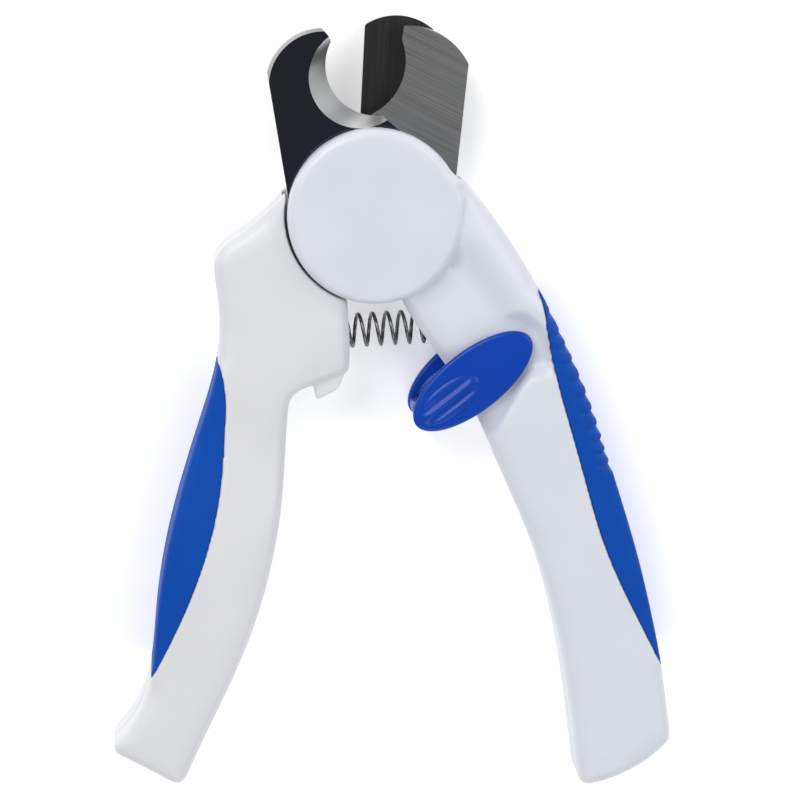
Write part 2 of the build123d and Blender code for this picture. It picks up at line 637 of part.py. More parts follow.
PAD_CENTRE = (15.0, -36.4)
PAD_LONG = 6.2
PAD_SHORT = 3.0
PAD_PROUD = 0.4
BACK_CHEEK = slab(OVAL, CHEEK_BACK_Z, CHEEK_BACK_Z + CHEEK_T)
FRONT_CHEEK = slab(OVAL, CHEEK_FRONT_Z, CHEEK_FRONT_Z + CHEEK_T)
PIN_LOW_Z = CHEEK_BACK_Z + PIN_SKIN
PIN_HIGH_Z = CHEEK_FRONT_Z + CHEEK_T - PIN_SKIN
PIN_SOCKETS = column([LOCK_PIVOT], PIN_R + BOLT_FIT, PIN_LOW_Z, PIN_HIGH_Z)

with BuildPart() as lock_lever:
    add(BACK_CHEEK)
    add(FRONT_CHEEK)
    top_edges = lock_lever.faces().sort_by(Axis.Z)[-1].edges()
    fillet(top_edges, radius=CHEEK_EDGE_R)
    low_edges = lock_lever.faces().sort_by(Axis.Z)[0].edges()
    fillet(low_edges, radius=CHEEK_EDGE_R)
    with BuildSketch(Plane.XY.offset(CHEEK_BACK_Z + CHEEK_T - BRIDGE_SUNK)):
        add(bridge_face.sketch)
    extrude(amount=CHEEK_FRONT_Z - CHEEK_BACK_Z - CHEEK_T + 2 * BRIDGE_SUNK)
    for pad_z, pad_height in [(CHEEK_FRONT_Z + CHEEK_T, PAD_PROUD), (CHEEK_BACK_Z, -PAD_PROUD)]:
        with BuildSketch(Plane.XY.offset(pad_z)):
            with Locations(Location((*PAD_CENTRE, 0), LOCK_TURN)):
                Ellipse(PAD_LONG, PAD_SHORT)
        extrude(amount=pad_height)
    add(PIN_SOCKETS, mode=Mode.SUBTRACT)

with BuildPart() as lock_pin:
    with BuildSketch(Plane.XY.offset(PIN_LOW_Z + PIN_END_GAP)):
        with Locations(LOCK_PIVOT):
            Circle(PIN_R)
    extrude(amount=PIN_HIGH_Z - PIN_LOW_Z - 2 * PIN_END_GAP)
    chamfer(lock_pin.edges().filter_by(GeomType.CIRCLE), length=EDGE_CHAMFER)

# ---------------------------------------------------------------- spring and screws
SPRING_PITCH = (SPRING_LENGTH - 2 * WIRE_R) / SPRING_TURNS
with BuildPart() as return_spring:
    with BuildLine() as coil:
        Helix(
            pitch=SPRING_PITCH,
            height=SPRING_PITCH * SPRING_TURNS,
            radius=SPRING_R,
            center=SPRING_PLANE.offset(WIRE_R).origin,
            direction=SPRING_PLANE.z_dir,
        )
    with BuildSketch(Plane(origin=coil.line @ 0, z_dir=coil.line % 0)):
        Circle(WIRE_R)
    sweep(is_frenet=True)


def screws(places):
    """Cross-slotted pan-head screws driven from the back, all in one group."""
    with BuildPart() as group:
        for index, place in enumerate(places):
            back = SCREW_GAP + (NECK_BACK_Z if index == 0 else 0.0)
            end = NECK_SCREW_TOP if index == 0 else FRONT_SCREW_TOP
            with BuildSketch(Plane.XY.offset(back + SCREW_HEAD_T)):
                with Locations(place):
                    Circle(SCREW_R)
            extrude(amount=end - back - SCREW_HEAD_T)
            with BuildSketch(Plane.XY.offset(back)):
                with Locations(place):
                    Circle(SCREW_HEAD_R)
            extrude(amount=SCREW_HEAD_T)
            with BuildSketch(Plane.XY.offset(back)):
                with Locations(place):
                    Rectangle(CROSS_LONG, CROSS_WIDE)
                    Rectangle(CROSS_WIDE, CROSS_LONG)
            extrude(amount=CROSS_DEEP, mode=Mode.SUBTRACT)
    return group


right_screws = screws(RIGHT_SCREWS)
left_screws = screws(LEFT_SCREWS)

for piece, name in [
    (right_front_shell, "right_front_shell"),
    (right_rear_shell, "right_rear_shell"),
    (right_grip, "right_grip"),
    (left_front_shell, "left_front_shell"),
    (left_rear_shell, "left_rear_shell"),
    (left_grip, "left_grip"),
    (front_blade, "front_blade"),
    (rear_blade, "rear_blade"),
    (guard_plate, "guard_plate"),
    (guard_washer, "guard_washer"),
    (blade_washer, "blade_washer"),
    (pivot_bolt, "pivot_bolt"),
    (pivot_nut, "pivot_nut"),
    (return_spring, "return_spring"),
    (lock_lever, "lock_lever"),
    (lock_pin, "lock_pin"),
    (right_screws, "right_screws"),
    (left_screws, "left_screws"),
]:
    save(piece, name)
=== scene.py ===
"""Pet nail trimmer: the finishes and the finely shaped pieces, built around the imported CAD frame."""

import logging
import math
from dataclasses import dataclass
from enum import Enum
from typing import Any

import bmesh
import bpy
from mathutils import Matrix, Vector
from mathutils.bvhtree import BVHTree


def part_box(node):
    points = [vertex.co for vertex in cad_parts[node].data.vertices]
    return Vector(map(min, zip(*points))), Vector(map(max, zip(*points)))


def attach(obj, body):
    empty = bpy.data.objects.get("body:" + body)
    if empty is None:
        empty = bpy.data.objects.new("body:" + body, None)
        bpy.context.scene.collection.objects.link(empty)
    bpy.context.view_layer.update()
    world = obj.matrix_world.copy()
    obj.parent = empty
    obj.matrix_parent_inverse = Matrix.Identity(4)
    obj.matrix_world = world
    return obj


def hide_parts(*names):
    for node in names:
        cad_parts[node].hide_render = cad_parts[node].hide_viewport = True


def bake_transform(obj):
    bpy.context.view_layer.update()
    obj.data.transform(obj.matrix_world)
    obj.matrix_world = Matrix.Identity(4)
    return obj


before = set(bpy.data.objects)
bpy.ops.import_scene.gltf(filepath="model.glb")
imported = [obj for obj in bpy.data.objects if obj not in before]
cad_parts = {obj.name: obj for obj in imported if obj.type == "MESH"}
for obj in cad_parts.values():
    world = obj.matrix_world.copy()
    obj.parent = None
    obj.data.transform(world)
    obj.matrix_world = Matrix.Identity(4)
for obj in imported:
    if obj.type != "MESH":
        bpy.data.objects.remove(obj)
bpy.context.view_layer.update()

log = logging.getLogger("nail_trimmer")

MM = 0.001
MIDDLE_Z = 9.3  # mm: the plane halfway between the trimmer's two faces
NOISE_LOW, NOISE_HIGH = 0.3, 0.7  # nearly all of a noise's values lie between these
TOUCHING = 1e-7  # m: closer than this is the same level

Path = tuple[tuple[float, float], ...]


class Body(Enum):
    """The bodies that the trimmer's pieces ride on."""

    RIGHT = "right_handle"
    LEFT = "left_handle"
    LOCK = "lock"
    GUARD = "guard"


class Slot(Enum):
    """The record's material slots."""

    WHITE_RIGHT = "white_shell_right"
    WHITE_LEFT = "white_shell_left"
    GRIP = "blue_grip"
    LOCK = "blue_lock"
    POLISHED = "polished_blade"
    GROUND = "ground_blade"
    GUARD = "guard_steel"
    SPRING = "spring_steel"
    ZINC = "zinc_steel"
    NYLON = "nylon"


def linear(hex_colour: str) -> tuple[float, float, float, float]:
    """Turns an sRGB hex colour to linear light.

    Args:
        hex_colour: Six hex digits, such as "DBDEE6".

    Returns:
        Red, green, blue and an alpha of 1.
    """
    parts = [int(hex_colour[i : i + 2], 16) / 255 for i in (0, 2, 4)]
    light = [c / 12.92 if c <= 0.04045 else ((c + 0.055) / 1.055) ** 2.4 for c in parts]
    return light[0], light[1], light[2], 1.0


def add(
    tree: bpy.types.NodeTree,
    kind: str,
    values: dict[str | int, Any] | None = None,
    links: dict[str | int, bpy.types.NodeSocket] | None = None,
    **settings: Any,
) -> bpy.types.Node:
    """Adds a node with its settings, its socket values and its incoming links.

    Args:
        tree: The node tree.
        kind: The node's type name.
        values: Socket name or number to constant.
        links: Socket name or number to the output that feeds it.
        **settings: The node's own properties.

    Returns:
        The new node.
    """
    node = tree.nodes.new(kind)
    for name, value in settings.items():
        setattr(node, name, value)
    for socket, value in (values or {}).items():
        node.inputs[socket].default_value = value
    for socket, source in (links or {}).items():
        tree.links.new(source, node.inputs[socket])
    return node


@dataclass(frozen=True)
class Finish:
    """What every finish shares: its name, its two close colours and its gloss."""

    name: str
    colour: str
    second_colour: str
    roughness: tuple[float, float]
    patch_mm: float = 14.0

    def start(self) -> tuple[bpy.types.Material, bpy.types.NodeTree, bpy.types.NodeSocket]:
        """Makes the empty material.

        Returns:
            The material, its node tree and its Object coordinates.
        """
        material = bpy.data.materials.new(self.name)
        material.use_nodes = True
        tree = material.node_tree
        tree.nodes.clear()
        coordinates = add(tree, "ShaderNodeTexCoord").outputs["Object"]
        return material, tree, coordinates

    def cloud(
        self, tree: bpy.types.NodeTree, place: bpy.types.NodeSocket, size_mm: float, detail: float = 2.0
    ) -> bpy.types.NodeSocket:
        """A soft noise whose patches are a real size.

        Args:
            tree: The node tree.
            place: The coordinates, in metres.
            size_mm: The patches' size.
            detail: How much finer noise is mixed in.

        Returns:
            The noise, from 0 to 1.
        """
        values = {"Scale": 1 / (size_mm * MM), "Detail": detail, "Roughness": 0.5}
        return add(tree, "ShaderNodeTexNoise", values, {"Vector": place}).outputs["Fac"]

    def stretched(
        self,
        tree: bpy.types.NodeTree,
        place: bpy.types.NodeSocket,
        turn_deg: float,
        line_mm: float,
        run_mm: float,
    ) -> bpy.types.NodeSocket:
        """Noise drawn out into lines, as an abrasive belt leaves them.

        Args:
            tree: The node tree.
            place: The coordinates, in metres.
            turn_deg: The lines' heading from +X, in the plane of the handles.
            line_mm: The lines' width.
            run_mm: The lines' length.

        Returns:
            The noise, from 0 to 1.
        """
        turned = add(
            tree,
            "ShaderNodeVectorRotate",
            {"Angle": math.radians(-turn_deg), "Axis": (0.0, 0.0, 1.0)},
            {"Vector": place},
            rotation_type="AXIS_ANGLE",
        ).outputs["Vector"]
        scale = (1 / (run_mm * MM), 1 / (line_mm * MM), 1 / (run_mm * MM))
        mapped = add(tree, "ShaderNodeMapping", {"Scale": scale}, {"Vector": turned}).outputs["Vector"]
        values = {"Scale": 1.0, "Detail": 3.0, "Roughness": 0.62}
        return add(tree, "ShaderNodeTexNoise", values, {"Vector": mapped}).outputs["Fac"]

    def between(
        self, tree: bpy.types.NodeTree, share: bpy.types.NodeSocket, low: float, high: float
    ) -> bpy.types.NodeSocket:
        """Spreads a noise's middle range between two numbers.

        Args:
            tree: The node tree.
            share: The noise.
            low: The number at its low end.
            high: The number at its high end.

        Returns:
            The number, as a socket.
        """
        values = {"From Min": NOISE_LOW, "From Max": NOISE_HIGH, "To Min": low, "To Max": high}
        return add(tree, "ShaderNodeMapRange", values, {"Value": share}).outputs["Result"]

    def tint(
        self, tree: bpy.types.NodeTree, share: bpy.types.NodeSocket, first: str, second: str
    ) -> bpy.types.NodeSocket:
        """Mixes two hex colours by a noise.

        Args:
            tree: The node tree.
            share: The noise.
            first: The colour at its low end.
            second: The colour at its high end.

        Returns:
            The colour, as a socket.
        """
        ramp = add(tree, "ShaderNodeValToRGB", None, {"Fac": share})
        stops = zip(ramp.color_ramp.elements, (NOISE_LOW, NOISE_HIGH), (first, second))
        for stop, position, colour in stops:
            stop.position = position
            stop.color = linear(colour)
        return ramp.outputs["Color"]

    def relief(
        self, tree: bpy.types.NodeTree, height: bpy.types.NodeSocket, depth_mm: float
    ) -> bpy.types.NodeSocket:
        """Roughens the surface by a noise, too finely for geometry.

        Args:
            tree: The node tree.
            height: The noise.
            depth_mm: How deep it goes.

        Returns:
            The surface's normal.
        """
        values = {"Strength": 1.0, "Distance": depth_mm * MM}
        return add(tree, "ShaderNodeBump", values, {"Height": height}).outputs["Normal"]

    def finish(self, tree: bpy.types.NodeTree, shader: bpy.types.Node) -> None:
        """Joins the shader to the material's output."""
        add(tree, "ShaderNodeOutputMaterial", None, {"Surface": shader.outputs["BSDF"]})


@dataclass(frozen=True)
class Moulded(Finish):
    """Injection-moulded plastic or rubber: even colour, with the faint grain of an eroded steel mould."""

    ior: float = 1.54
    grain_mm: float = 0.35
    grain_depth_mm: float = 0.004
    subsurface: float = 0.0
    scatter: tuple[float, float, float] = (1.0, 0.9, 0.8)
    scatter_mm: float = 1.2
    gloss: float = 0.5
    glow: float = 0.0

    def build(self) -> bpy.types.Material:
        """Makes the material.

        Returns:
            The material.
        """
        material, tree, place = self.start()
        patches = self.cloud(tree, place, self.patch_mm)
        grain = self.cloud(tree, place, self.grain_mm, 1.0)
        shader = add(
            tree,
            "ShaderNodeBsdfPrincipled",
            {
                "IOR": self.ior,
                "Subsurface Weight": self.subsurface,
                "Subsurface Radius": self.scatter,
                "Subsurface Scale": self.scatter_mm * MM,
                "Specular IOR Level": self.gloss,
                "Emission Strength": self.glow,
            },
            {
                "Base Color": self.tint(tree, patches, self.colour, self.second_colour),
                "Roughness": self.between(tree, grain, *self.roughness),
                "Normal": self.relief(tree, grain, self.grain_depth_mm),
            },
        )
        self.finish(tree, shader)
        return material


@dataclass(frozen=True)
class Ground(Finish):
    """Steel ground on a belt: lines that catch the light, with flats and edges told apart by their slope."""

    turn_deg: float = -27.0
    line_mm: float = 0.16
    run_mm: float = 26.0
    line_depth_mm: float = 0.006
    edge_colour: str = "B4B4B4"
    edge_roughness: float = 0.3
    edge_slope: tuple[float, float] = (0.90, 0.97)
    anisotropy: float = 0.4

    def build(self) -> bpy.types.Material:
        """Makes the material. The Mix nodes' sockets go by number: 0 is the share.

        Returns:
            The material.
        """
        material, tree, place = self.start()
        lines = self.stretched(tree, place, self.turn_deg, self.line_mm, self.run_mm)
        normal = add(tree, "ShaderNodeNewGeometry").outputs["Normal"]
        upright = add(tree, "ShaderNodeSeparateXYZ", None, {"Vector": normal})
        steep = add(tree, "ShaderNodeMath", None, {0: upright.outputs["Z"]}, operation="ABSOLUTE")
        flat = add(
            tree,
            "ShaderNodeMapRange",
            {"From Min": self.edge_slope[0], "From Max": self.edge_slope[1]},
            {"Value": steep.outputs["Value"]},
            interpolation_type="SMOOTHSTEP",
        ).outputs["Result"]
        edge = add(
            tree,
            "ShaderNodeMix",
            {6: linear(self.edge_colour)},
            {0: flat, 7: self.tint(tree, lines, self.colour, self.second_colour)},
            data_type="RGBA",
        )
        gloss = add(
            tree,
            "ShaderNodeMix",
            {2: self.edge_roughness},
            {0: flat, 3: self.between(tree, lines, *self.roughness)},
            data_type="FLOAT",
        )
        shader = add(
            tree,
            "ShaderNodeBsdfPrincipled",
            {"Metallic": 1.0, "Anisotropic": self.anisotropy},
            {
                "Base Color": edge.outputs[2],
                "Roughness": gloss.outputs[0],
                "Normal": self.relief(tree, lines, self.line_depth_mm),
            },
        )
        self.finish(tree, shader)
        return material


@dataclass(frozen=True)
class Plated(Finish):
    """Plated, drawn or tumbled steel: a mottled satin with no direction."""

    grain_mm: float = 0.5
    grain_depth_mm: float = 0.004

    def build(self) -> bpy.types.Material:
        """Makes the material.

        Returns:
            The material.
        """
        material, tree, place = self.start()
        grain = self.cloud(tree, place, self.grain_mm, 3.0)
        shader = add(
            tree,
            "ShaderNodeBsdfPrincipled",
            {"Metallic": 1.0},
            {
                "Base Color": self.tint(tree, grain, self.colour, self.second_colour),
                "Roughness": self.between(tree, grain, *self.roughness),
                "Normal": self.relief(tree, grain, self.grain_depth_mm),
            },
        )
        self.finish(tree, shader)
        return material


# Moulded ABS, satin: a cool white that takes soft highlights along rounded edges.
WHITE_RIGHT = Moulded("moulded_abs_cool_white", "D6D9E1", "DADDE4", (0.34, 0.42), subsurface=0.08)
# The left handle is the same plastic in a warmer white.
WHITE_LEFT = Moulded("moulded_abs_warm_white", "D9D9DC", "DDDDE0", (0.34, 0.42), subsurface=0.08)
# Moulded thermoplastic rubber: deep blue, softer highlights than the hard plastic. Both blues' gloss is set
# below the usual 0.5: the bright room would wash the blue out.
BLUE_RUBBER = Moulded(
    "moulded_rubber_blue", "0046A4", "004AA9", (0.52, 0.60), ior=1.5, grain_mm=0.5, gloss=0.15
)
# Moulded acetal: the same blue, but glossier, with crisp highlights on the thumb pad.
BLUE_ACETAL = Moulded(
    "moulded_acetal_blue", "003DA5", "0040AA", (0.27, 0.30), ior=1.48, grain_depth_mm=0.0004, gloss=0.3
)
# Mirror-polished stainless steel, with a pale satin bevel. Its flats' near-black base colour is a painted dark
# reflection.
MIRROR_STEEL_PAINTED_DARK = Ground(
    "mirror_stainless_painted_dark_reflection",
    # Near-black base colours: the painted dark reflection on the mirror flats.
    "3F424A",
    "43464F",
    (0.04, 0.07),
    turn_deg=80.0,
    line_mm=0.5,
    line_depth_mm=0.0003,
    edge_colour="D4D4D4",
    edge_roughness=0.32,
    anisotropy=0.0,
)
# Belt-ground stainless steel: mid grey with fine slanted lines.
GROUND_STEEL = Ground("belt_ground_stainless", "7B7B7B", "9E9E9E", (0.36, 0.44), line_mm=0.1)
# Brushed stainless sheet, darker: the guard lies in the blades' shade.
BRUSHED_SHEET = Ground(
    "brushed_stainless_sheet",
    "363636",
    "444444",
    (0.42, 0.52),
    turn_deg=86.0,
    line_mm=0.3,
    edge_colour="808080",
)
# Drawn spring wire: dark, mottled satin steel. Its die lines are too fine to show.
DRAWN_WIRE = Plated("drawn_spring_wire", "5A5A5A", "8C8C8C", (0.24, 0.36), grain_mm=0.3)
# Zinc-plated steel: a pale, slightly mottled satin.
ZINC_STEEL = Plated("zinc_plated_steel", "A9ACB0", "C2C5C9", (0.30, 0.42))
# Natural nylon: milky off-white.
NYLON = Moulded("moulded_nylon_natural", "DAD8CF", "DFDDD5", (0.45, 0.55), ior=1.53, subsurface=0.1)


@dataclass(frozen=True)
class Dressing:
    """Which finish a group of CAD nodes takes, and from which slot of the record."""

    finish: Finish
    slot: Slot
    nodes: tuple[str, ...]

    def apply(self) -> None:
        """Gives the nodes their material."""
        material = self.finish.build()
        for node in self.nodes:
            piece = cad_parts[node]
            piece.data.materials.clear()
            piece.data.materials.append(material)
            log.info("%s is %s", node, self.finish.name)


CAD_DRESSINGS = (
    Dressing(MIRROR_STEEL_PAINTED_DARK, Slot.POLISHED, ("front_blade",)),
    Dressing(GROUND_STEEL, Slot.GROUND, ("rear_blade",)),
    Dressing(BRUSHED_SHEET, Slot.GUARD, ("guard_plate",)),
    Dressing(DRAWN_WIRE, Slot.SPRING, ("guard_washer",)),
    Dressing(ZINC_STEEL, Slot.ZINC, ("pivot_bolt", "pivot_nut", "lock_pin", "right_screws", "left_screws")),
    Dressing(NYLON, Slot.NYLON, ("blade_washer",)),
)


def make_piece(shape: bmesh.types.BMesh, name: str, finish: Finish) -> bpy.types.Object:
    """Turns a finished bmesh, in metres in the trimmer's frame, into a smooth-shaded object.

    Args:
        shape: The mesh, which is freed.
        name: The piece's name.
        finish: Its finish.

    Returns:
        The object, linked to the scene.
    """
    mesh = bpy.data.meshes.new(name)
    shape.to_mesh(mesh)
    shape.free()
    mesh.shade_smooth()
    mesh.materials.append(finish.build())
    piece = bpy.data.objects.new(name, mesh)
    bpy.context.scene.collection.objects.link(piece)
    return piece


@dataclass
class ReturnSpring:
    """The coil spring that pushes the handles apart. Sizes in millimetres."""

    coil_r: float = 3.15
    wire_r: float = 0.37
    turns: float = 8.05
    start: tuple[float, float, float] = (-9.4, -24.1, MIDDLE_Z)
    end: tuple[float, float, float] = (14.2, -22.9, MIDDLE_Z)
    first_deg: float = 202.0
    steps_per_turn: int = 40
    wire_sides: int = 12

    def build(self) -> bpy.types.Object:
        """Winds the wire and blends it between the handles.

        Returns:
            The spring.
        """
        start, end = Vector(self.start) * MM, Vector(self.end) * MM
        axis = (end - start).normalized()
        steps = round(self.turns * self.steps_per_turn)
        rise = ((end - start).length - 2 * self.wire_r * MM) / steps
        out = Matrix.Rotation(math.radians(self.first_deg), 3, axis) @ Vector((0.0, 0.0, 1.0))
        first = start + axis * self.wire_r * MM + out * self.coil_r * MM
        shape = bmesh.new()
        section = bmesh.ops.create_circle(shape, segments=self.wire_sides, radius=self.wire_r * MM)
        face_turn = Matrix((axis, out, axis.cross(out))).transposed()
        place = Matrix.Translation(first) @ face_turn.to_4x4()
        bmesh.ops.transform(shape, matrix=place, verts=section["verts"])
        bmesh.ops.spin(
            shape,
            geom=shape.verts[:] + shape.edges[:],
            cent=start,
            axis=axis,
            dvec=axis * rise,
            angle=math.tau * self.turns,
            steps=steps,
            use_merge=False,
        )
        bmesh.ops.holes_fill(shape, edges=[e for e in shape.edges if e.is_boundary], sides=0)
        bmesh.ops.recalc_face_normals(shape, faces=shape.faces[:])
        piece = make_piece(shape, "coil_spring", DRAWN_WIRE)
        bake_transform(piece)
        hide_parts("return_spring")
        return piece


def merged_copy(node: str) -> bmesh.types.BMesh:
    """Copies a CAD node's mesh and joins its loose triangles.

    Args:
        node: The CAD node.

    Returns:
        The closed copy, in metres.
    """
    shape = bmesh.new()
    shape.from_mesh(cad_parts[node].data)
    bmesh.ops.remove_doubles(shape, verts=shape.verts[:], dist=0.002 * MM)
    return shape


def remeshed(shape: bmesh.types.BMesh, voxel_mm: float) -> bmesh.types.BMesh:
    """Rebuilds a closed shape from even quads, so that it can be softened like wax.

    Args:
        shape: The closed shape, which is freed.
        voxel_mm: The quads' size.

    Returns:
        The new shape.
    """
    mesh = bpy.data.meshes.new("wax")
    shape.to_mesh(mesh)
    shape.free()
    wax = bpy.data.objects.new("wax", mesh)
    bpy.context.scene.collection.objects.link(wax)
    remesh = wax.modifiers.new("remesh", "REMESH")
    remesh.mode = "VOXEL"
    remesh.voxel_size = voxel_mm * MM
    graph = bpy.context.evaluated_depsgraph_get()
    even = bpy.data.meshes.new_from_object(wax.evaluated_get(graph))
    result = bmesh.new()
    result.from_mesh(even)
    bpy.data.objects.remove(wax)
    bpy.data.meshes.remove(mesh)
    bpy.data.meshes.remove(even)
    return result


def soften(shape: bmesh.types.BMesh, rounds: int, verts: list[bmesh.types.BMVert] | None = None) -> None:
    """Relaxes a shape a little, which rounds its corners and never makes it larger.

    Args:
        shape: The shape.
        rounds: How many times each point moves towards its neighbours.
        verts: The points that move: all of them if left out.
    """
    chosen = shape.verts[:] if verts is None else verts
    for _ in range(rounds):
        bmesh.ops.smooth_vert(
            shape, verts=chosen, factor=0.5, use_axis_x=True, use_axis_y=True, use_axis_z=True
        )


def keep_in_box(shape: bmesh.types.BMesh, node: str) -> None:
    """Holds every point inside the CAD node's own box.

    Args:
        shape: The shape.
        node: The CAD node.
    """
    low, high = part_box(node)
    for vert in shape.verts:
        vert.co = Vector(min(max(vert.co[i], low[i]), high[i]) for i in range(3))


def ease(share: float) -> float:
    """A smooth step from 0 to 1.

    Args:
        share: How far along the step, held between 0 and 1.

    Returns:
        The step's height there.
    """
    t = min(max(share, 0.0), 1.0)
    return t * t * (3 - 2 * t)


def along_path(x: float, y: float, path: Path) -> tuple[float, float]:
    """Measures where a place lies beside a path in the plane of the handles. All in millimetres.

    Args:
        x: The place.
        y: The place.
        path: The path's corners.

    Returns:
        The length along the path to the nearest point on it, and the distance from it, positive on its left.
    """
    nearest, travelled, found = math.inf, 0.0, (0.0, 0.0)
    for (x0, y0), (x1, y1) in zip(path, path[1:]):
        run_x, run_y = x1 - x0, y1 - y0
        length = math.hypot(run_x, run_y)
        off_x, off_y = x - x0, y - y0
        share = min(max((off_x * run_x + off_y * run_y) / length**2, 0.0), 1.0)
        gap = math.hypot(off_x - share * run_x, off_y - share * run_y)
        if gap < nearest:
            nearest = gap
            found = travelled + share * length, math.copysign(gap, run_x * off_y - run_y * off_x)
        travelled += length
    return found


def clear_of(shape: bmesh.types.BMesh, node: str, gap_mm: float) -> list[bmesh.types.BMVert]:
    """Finds the points that don't touch another CAD node, so that the seam with it can stay crisp.

    Args:
        shape: The shape.
        node: The CAD node on the other side of the seam.
        gap_mm: How far from it a point must be.

    Returns:
        The points that are further away.
    """
    other = merged_copy(node)
    tree = BVHTree.FromBMesh(other)
    other.free()
    return [v for v in shape.verts if tree.find_nearest(v.co, gap_mm * MM)[0] is None]


@dataclass
class SoftShell:
    """A handle shell with its moulded edges rounded over.

    Sizes in millimetres. Heights are from the middle plane, as both faces are shaped alike. The sizes from
    valley_x on shape the valley, and a side is the distance from the ridge, positive towards the handle.
    """

    node: str
    name: str
    body: Body
    finish: Finish
    slot: Slot
    grip: str
    edges: tuple[Path, ...]
    ridge: Path = ()
    voxel: float = 0.42
    rounds: int = 4
    seam: float = 0.9
    face_half: float = 9.3
    neck_half: float = 6.7
    disc_r: float = 17.3
    disc_rim: float = 1.2
    crown_deep: float = 1.5
    crown_wide: float = 5.5
    crown_low: float = 4.0
    crown_rise: float = 2.5
    crown_gap: float = 0.2
    crown_fade: float = 4.0
    valley_x: float = 9.0
    valley_y: float = -33.0
    valley_fade: float = 4.0
    valley_deep: float = 3.0
    valley_sides: tuple[float, float] = (-8.0, 9.0)
    climb_wide: float = 7.5
    lock_clear: float = 7.6
    lock_fade: float = 4.2
    ring_deep: float = 0.8
    ring_gap: float = 0.1
    ring_fade: float = 4.0
    outer_deep: float = 0.8
    outer_wide: float = 6.5
    outer_run: float = 20.0
    outer_fade: float = 10.0
    step_sides: tuple[float, float] = (-0.8, 2.2)
    step_skin: float = 0.6
    face_skin: float = 1.8
    skin_fade: float = 2.0

    def build(self) -> bpy.types.Object:
        """Remeshes, reshapes and softens the shell.

        Returns:
            The shell.
        """
        shape = remeshed(merged_copy(self.node), self.voxel)
        if self.ridge:
            self.sweep_valley(shape)
            shape = remeshed(shape, self.voxel)
        self.crown(shape)
        free = [v for v in clear_of(shape, self.grip, self.seam) if self.is_soft(v.co / MM)]
        soften(shape, 1)
        soften(shape, self.rounds, free)
        keep_in_box(shape, self.node)
        piece = make_piece(shape, self.name, self.finish)
        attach(piece, self.body.value)
        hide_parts(self.node)
        return piece

    def is_soft(self, place: Vector) -> bool:
        """Tells whether a place may be rounded over: the disc and the concave end beside it stay true.

        Args:
            place: The place, in millimetres.

        Returns:
            Whether it may.
        """
        radius = math.hypot(place.x, place.y)
        in_valley = bool(self.ridge) and place.x > self.valley_x
        return radius > (self.disc_r - self.disc_rim if in_valley else self.disc_r + self.disc_rim)

    def crown(self, shape: bmesh.types.BMesh) -> None:
        """Lowers the faces towards the handle's outer edges, so that they catch the light as a pillow does.

        Args:
            shape: The shell.
        """
        for vert in shape.verts:
            x, y, z = vert.co / MM
            height = abs(z - MIDDLE_Z)
            radius = math.hypot(x, y)
            if height < self.crown_low or radius < self.disc_r + self.crown_gap:
                continue
            gap = min(abs(along_path(x, y, path)[1]) for path in self.edges)
            if gap < self.crown_wide:
                slope = self.crown_deep * (1 - gap / self.crown_wide) ** 2
                near = ease((radius - self.disc_r) / self.crown_fade)
                drop = slope * ease((height - self.crown_low) / self.crown_rise) * near
                vert.co.z -= math.copysign(drop, z - MIDDLE_Z) * MM

    def sweep_valley(self, shape: bmesh.types.BMesh) -> None:
        """Turns the step between the neck and the handle into a soft valley that climbs to a ridge.

        The step stays where the lock swings, and the ridge fades before it.

        Args:
            shape: The shell.
        """
        rise = self.face_half - self.neck_half
        for vert in shape.verts:
            x, y, z = vert.co / MM
            height = abs(z - MIDDLE_Z)
            radius = math.hypot(x, y)
            if height < self.neck_half - self.valley_deep or radius < self.disc_r + self.ring_gap:
                continue
            if y < self.valley_y or x < self.valley_x:
                continue
            travelled, side = along_path(x, y, self.ridge)
            if not self.valley_sides[0] < side < self.valley_sides[1]:
                continue
            from_pin = math.hypot(x - LOCK_PIVOT[0], y - LOCK_PIVOT[1])
            up_the_side = ease((side + self.climb_wide) / self.climb_wide)
            climb = rise * min(up_the_side, ease((from_pin - self.lock_clear) / self.lock_fade))
            ring = self.ring_deep * (1 - ease((radius - self.disc_r - self.ring_gap) / self.ring_fade))
            fading = 1 - ease((travelled - self.outer_run) / self.outer_fade)
            outer = self.outer_deep * ease(side / self.outer_wide) * fading
            target = self.neck_half + climb - ring - outer
            face = self.face_half if side > self.step_sides[1] else self.neck_half
            below = max(face - height, 0.0)
            if self.step_sides[0] <= side <= self.step_sides[1]:
                change = target - height if height > self.neck_half - self.step_skin else 0.0
            elif below < self.face_skin:
                change = target - below - height
            else:
                change = (target - face) * max(0.0, 1 - (below - self.face_skin) / self.skin_fade)
            height += change * ease((y - self.valley_y) / self.valley_fade)
            vert.co.z = (MIDDLE_Z + math.copysign(height, z - MIDDLE_Z)) * MM


